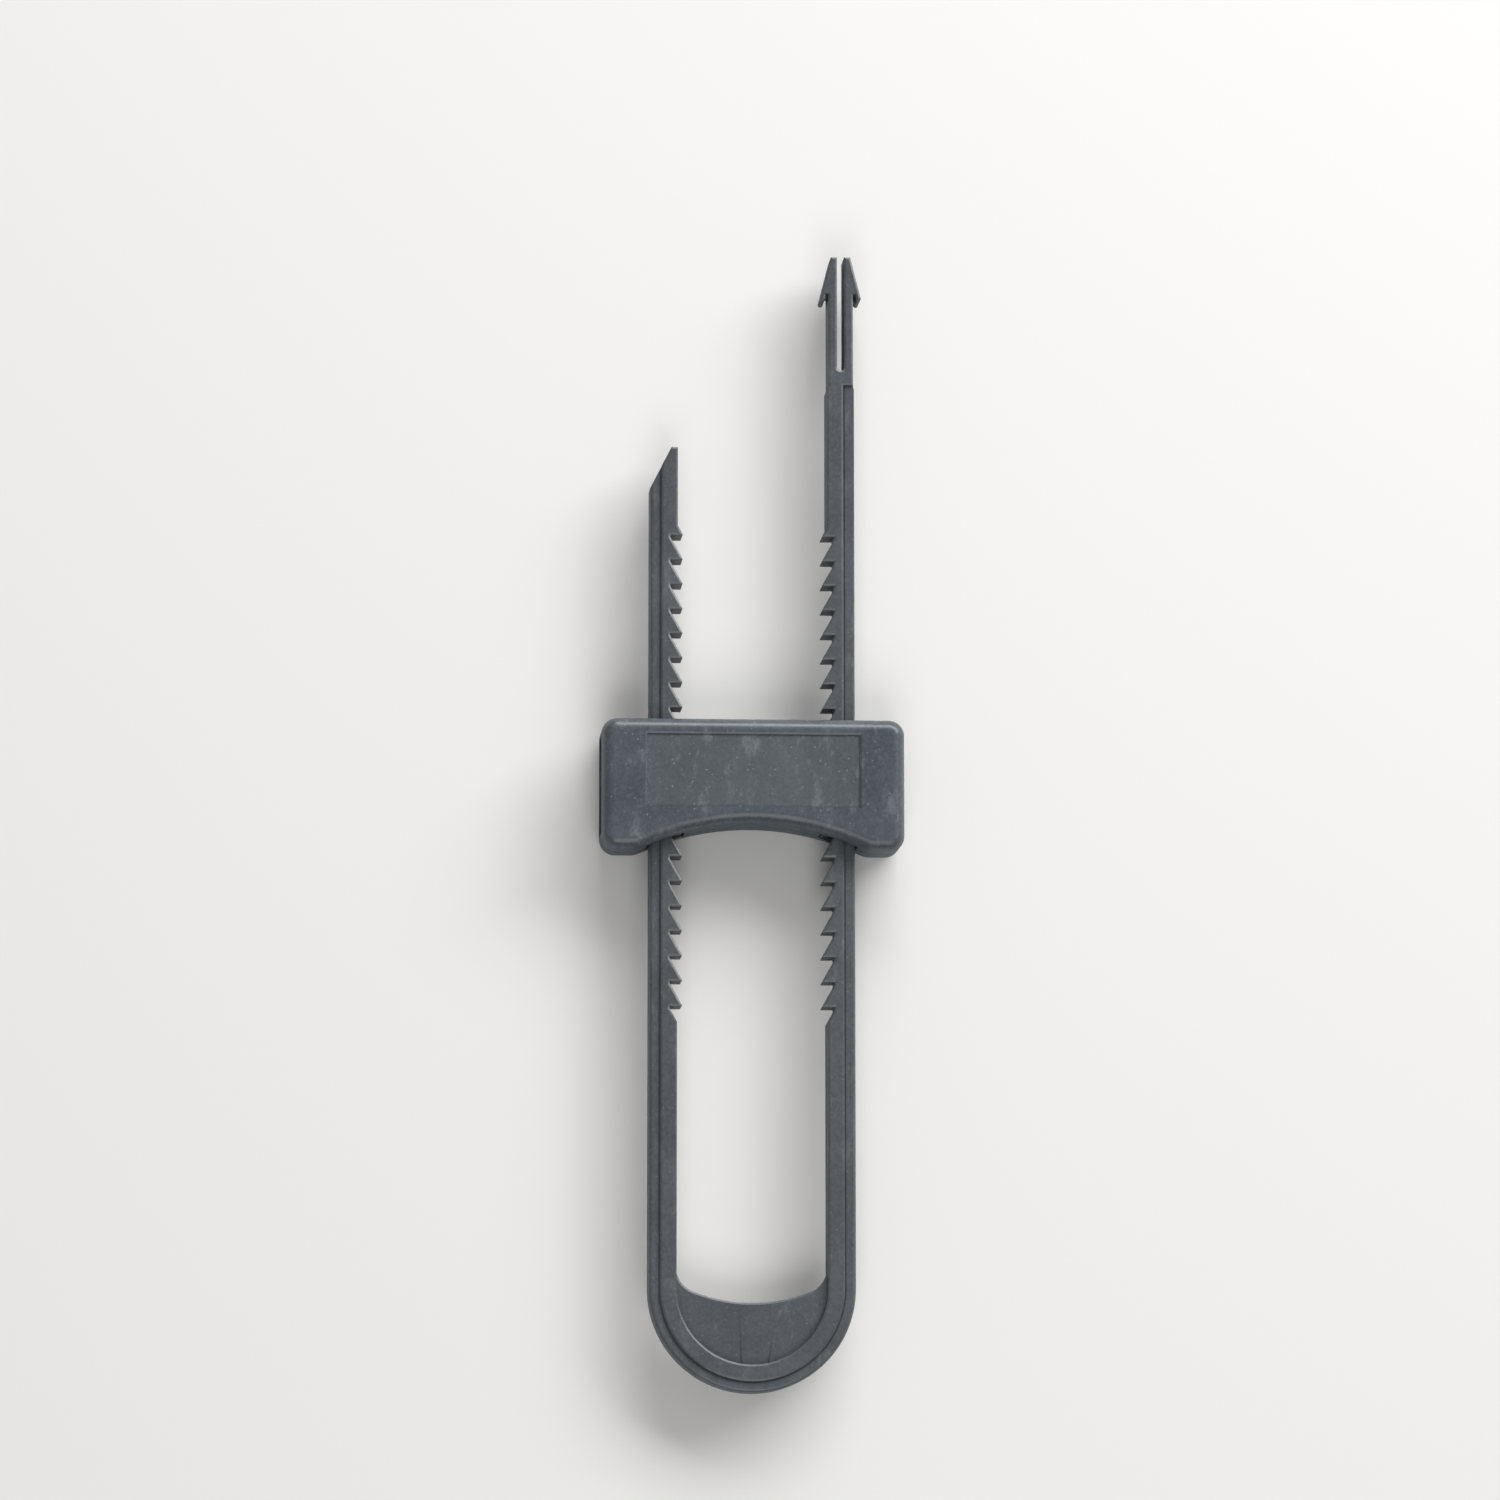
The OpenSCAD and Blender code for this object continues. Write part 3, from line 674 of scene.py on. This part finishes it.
def moulded_plastic(name, tone, deep, pale, wear, flow_lines=()):
    """Slate grey polypropylene from a satin steel mould: one even dark colour with a soft sheen, duller
    side walls, a fine grain, faint clouds where it cooled, and pale rubs, scratches and specks of dust.
    A flow line (x and reach of its two ends) is a thin dark trace where two streams met in the mould."""
    material = bpy.data.materials.new(name)
    material.use_nodes = True
    tree = material.node_tree
    shader = tree.nodes["Principled BSDF"]
    coordinates = add(tree, "TexCoord", {})
    place = coordinates.outputs["Object"]
    cloud = add(tree, "TexNoise", {"Vector": place, "Scale": per(16), "Detail": 4, "Roughness": 0.6})
    mottle = add(tree, "TexNoise", {"Vector": place, "Scale": per(0.6), "Detail": 3, "Roughness": 0.6})
    blend = add(tree, "Mix", {0: 0.5, 2: cloud.outputs["Fac"], 3: mottle.outputs["Fac"]})
    blended = add(tree, "MapRange", {"Value": blend.outputs[0], "From Min": 0.36, "From Max": 0.64})
    rub_place = add(tree, "Mapping", {"Vector": place, "Rotation": (0, 0, -0.5), "Scale": (1, 0.45, 1)})
    rub = add(tree, "TexNoise", {"Vector": rub_place.outputs[0], "Scale": per(3.5), "Detail": 8,
                                 "Roughness": 0.78})
    rubbed = add(tree, "MapRange", {"Value": rub.outputs["Fac"], "From Min": 0.54, "From Max": 0.82})
    streak_place = add(tree, "Mapping", {"Vector": place, "Rotation": (0.2, 0.1, 0.7),
                                         "Scale": (1, 0.07, 1)})
    streak = add(tree, "TexNoise", {"Vector": streak_place.outputs[0], "Scale": per(0.55), "Detail": 2})
    streaked = add(tree, "MapRange", {"Value": streak.outputs["Fac"], "From Min": 0.66, "From Max": 0.76})
    speck = add(tree, "TexVoronoi", {"Vector": place, "Scale": per(1.1)})
    dusty = add(tree, "MapRange", {"Value": speck.outputs["Distance"], "From Min": 0.17, "From Max": 0.06})
    coloured = mix(tree, blended.outputs[0], linear(deep), linear(tone))
    streak_share = multiply(tree, streaked.outputs[0], rubbed.outputs[0])
    speck_share = multiply(tree, dusty.outputs[0], speck.outputs["Color"])
    for share, strength in ((rubbed.outputs[0], RUB_STRENGTH), (streak_share, STREAK_STRENGTH),
                            (speck_share, SPECK_STRENGTH)):
        coloured = mix(tree, multiply(tree, share, strength * wear), coloured, linear(pale))
    for low_x, low_reach, high_x, high_reach in flow_lines:
        low, high = at(low_x, low_reach), at(high_x, high_reach)
        flat = add(tree, "VectorMath", {0: place, 1: (1, 1, 0)}, operation="MULTIPLY")
        beside = add(tree, "Mapping", {"Vector": flat.outputs[0], "Location": (low.x, low.y, 0),
                                       "Rotation": (0, 0, math.atan2(high.y - low.y, high.x - low.x))},
                     vector_type="TEXTURE")
        parts = add(tree, "SeparateXYZ", {0: beside.outputs[0]})
        off = add(tree, "Math", {0: parts.outputs["Y"]}, operation="ABSOLUTE")
        near = add(tree, "MapRange", {"Value": off.outputs[0], "From Min": 0.3 * MM, "From Max": 0.05 * MM,
                                      "To Max": 0.45})
        along = add(tree, "MapRange", {"Value": parts.outputs["X"], "From Max": (high - low).length,
                                       "To Min": 1, "To Max": 0})
        inside = add(tree, "Math", {0: parts.outputs["X"], 1: 0}, operation="GREATER_THAN")
        faded = multiply(tree, near.outputs[0], along.outputs[0])
        coloured = mix(tree, multiply(tree, faded, inside.outputs[0]), coloured, BLACK)
    sheen = add(tree, "MapRange", {"Value": rub.outputs["Fac"], "From Min": 0.3, "From Max": 0.75,
                                   "To Min": 0.24, "To Max": 0.4})
    outward = add(tree, "SeparateXYZ", {0: coordinates.outputs["Normal"]})
    facing = add(tree, "Math", {0: outward.outputs["Z"]}, operation="ABSOLUTE")
    wall = add(tree, "MapRange", {"Value": facing.outputs[0], "From Min": 0.2, "From Max": 0.6,
                                  "To Min": 0.65, "To Max": 0})
    dulled = add(tree, "Math", {0: sheen.outputs[0], 1: wall.outputs[0]}, operation="MAXIMUM")
    grain = add(tree, "TexNoise", {"Vector": place, "Scale": per(0.4), "Detail": 2})
    bump = add(tree, "Bump", {"Height": grain.outputs["Fac"], "Strength": 0.12, "Distance": 0.05 * MM})
    tree.links.new(coloured, shader.inputs["Base Color"])
    tree.links.new(dulled.outputs[0], shader.inputs["Roughness"])
    tree.links.new(bump.outputs[0], shader.inputs["Normal"])
    shader.inputs["IOR"].default_value = 1.49
    return material


def drawn_wire(name, tone, deep):
    """Cold drawn spring steel: bright and smooth, with faint lines along the wire and a little oil."""
    material = bpy.data.materials.new(name)
    material.use_nodes = True
    tree = material.node_tree
    shader = tree.nodes["Principled BSDF"]
    place = add(tree, "TexCoord", {}).outputs["Object"]
    lines = add(tree, "TexNoise", {"Vector": place, "Scale": per(0.3), "Detail": 3})
    coloured = mix(tree, lines.outputs["Fac"], linear(deep), linear(tone))
    gloss = add(tree, "MapRange", {"Value": lines.outputs["Fac"], "To Min": 0.2, "To Max": 0.42})
    tree.links.new(coloured, shader.inputs["Base Color"])
    tree.links.new(gloss.outputs[0], shader.inputs["Roughness"])
    shader.inputs["Metallic"].default_value = 1
    return material


# Pieces on their bodies

def dress(piece, body, node, material):
    """Gives a piece its material, and sets it on its body in place of a solid of the frame."""
    piece.data.name = piece.name
    piece.data.materials.clear()
    piece.data.materials.append(material)
    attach(piece, body)
    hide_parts(node)


FLOW_LINES = [(-2, 5.5, -2.5, 18.5), (3, 5.5, 4.2, 12)]
bar_plastic = moulded_plastic("satin_polypropylene_bar", "#5B6064", "#484C50", "#8B9093", 0.9, FLOW_LINES)
shell_plastic = moulded_plastic("satin_polypropylene_shell", "#596066", "#454B51", "#9AA1A4", 1.1)
panel_plastic = moulded_plastic("smooth_polypropylene_panel", "#5E6469", "#4F555A", "#9AA1A4", 1.2)
button_plastic = moulded_plastic("satin_polypropylene_button", "#4A5055", "#3E4348", "#7B8186", 0.5)
spring_steel = drawn_wire("drawn_spring_steel", "#C3C6CA", "#9B9FA4")

dress(make_bar(), "bar", "u_bar", bar_plastic)
front_shell = make_front_shell()
dress(front_shell, "slider", "front_cover", shell_plastic)
front_shell.data.materials.append(panel_plastic)
for face in front_shell.data.polygons:
    if face.normal.z > FACING_FRONT and abs(face.center.z / MM - cover_high.z + PANEL_DEPTH) < WELD:
        face.material_index = 1
dress(make_rear_shell(), "slider", "rear_cover", shell_plastic)
for hand_name, hand in (("left", -1), ("right", 1)):
    button = make_button(hand_name + "_release", hand)
    dress(button, hand_name + "_button", hand_name + "_button", button_plastic)
    coil = make_coil(hand_name + "_coil", hand)
    dress(coil, "slider", hand_name + "_spring", spring_steel)
    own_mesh(coil)


# Stage

# Side of the floor in metres, and how far it lies below the lock in millimetres
FLOOR_SIZE = 6
FLOOR_DROP = 0.2


def lamp(name, place, width, height, power):
    """A softbox at a place in metres, turned towards the lock."""
    bpy.ops.object.light_add(type="AREA", location=place)
    light = bpy.context.object
    light.name = name
    light.rotation_euler = (-Vector(place)).to_track_quat("-Z", "Y").to_euler()
    light.data.shape = "RECTANGLE"
    light.data.size = width
    light.data.size_y = height
    light.data.energy = power


bpy.ops.object.select_all(action="DESELECT")
bpy.ops.mesh.primitive_plane_add(size=FLOOR_SIZE, location=(0, 0, -FLOOR_DROP * MM))
floor = bpy.context.object
floor.name = "floor"
floor_paint = bpy.data.materials.new("matt_pale_paint")
floor_paint.use_nodes = True
floor_shader = floor_paint.node_tree.nodes["Principled BSDF"]
floor_shader.inputs["Base Color"].default_value = linear("#EFEEEC")
floor_shader.inputs["Roughness"].default_value = 0.8
floor.data.materials.append(floor_paint)

lamp("upper_right", (0.68, 1.185, 0.79), width=2.1, height=0.68, power=36)
lamp("below", (0, -0.85, 1.05), width=0.8, height=0.8, power=5)

scene = bpy.context.scene
scene.view_settings.view_transform = "Standard"
scene.world = bpy.data.worlds.new("soft_room")
scene.world.use_nodes = True
sky = scene.world.node_tree.nodes["Background"]
sky.inputs["Color"].default_value = (1, 1, 1, 1)
sky.inputs["Strength"].default_value = 0.25

# The camera looks at the front from a little below and from the left, with the legs upright
VIEW_BELOW = math.radians(8)
VIEW_LEFT = math.radians(4)
VIEW_WIDTH = 285
VIEW_LENS = 150
VIEW_X = -0.5
VIEW_REACH = 121.6
view_centre = at(VIEW_X, VIEW_REACH, bar_high.z)
back = Vector((-math.sin(VIEW_LEFT) * math.cos(VIEW_BELOW), -math.sin(VIEW_BELOW),
               math.cos(VIEW_LEFT) * math.cos(VIEW_BELOW)))
right = Vector((0, 1, 0)).cross(back).normalized()
bpy.ops.object.camera_add()
camera = bpy.context.object
camera.data.lens = VIEW_LENS
camera.rotation_euler = Matrix((right, back.cross(right), back)).transposed().to_euler()
camera.location = view_centre + back * VIEW_WIDTH * MM * VIEW_LENS / camera.data.sensor_width
scene.camera = camera
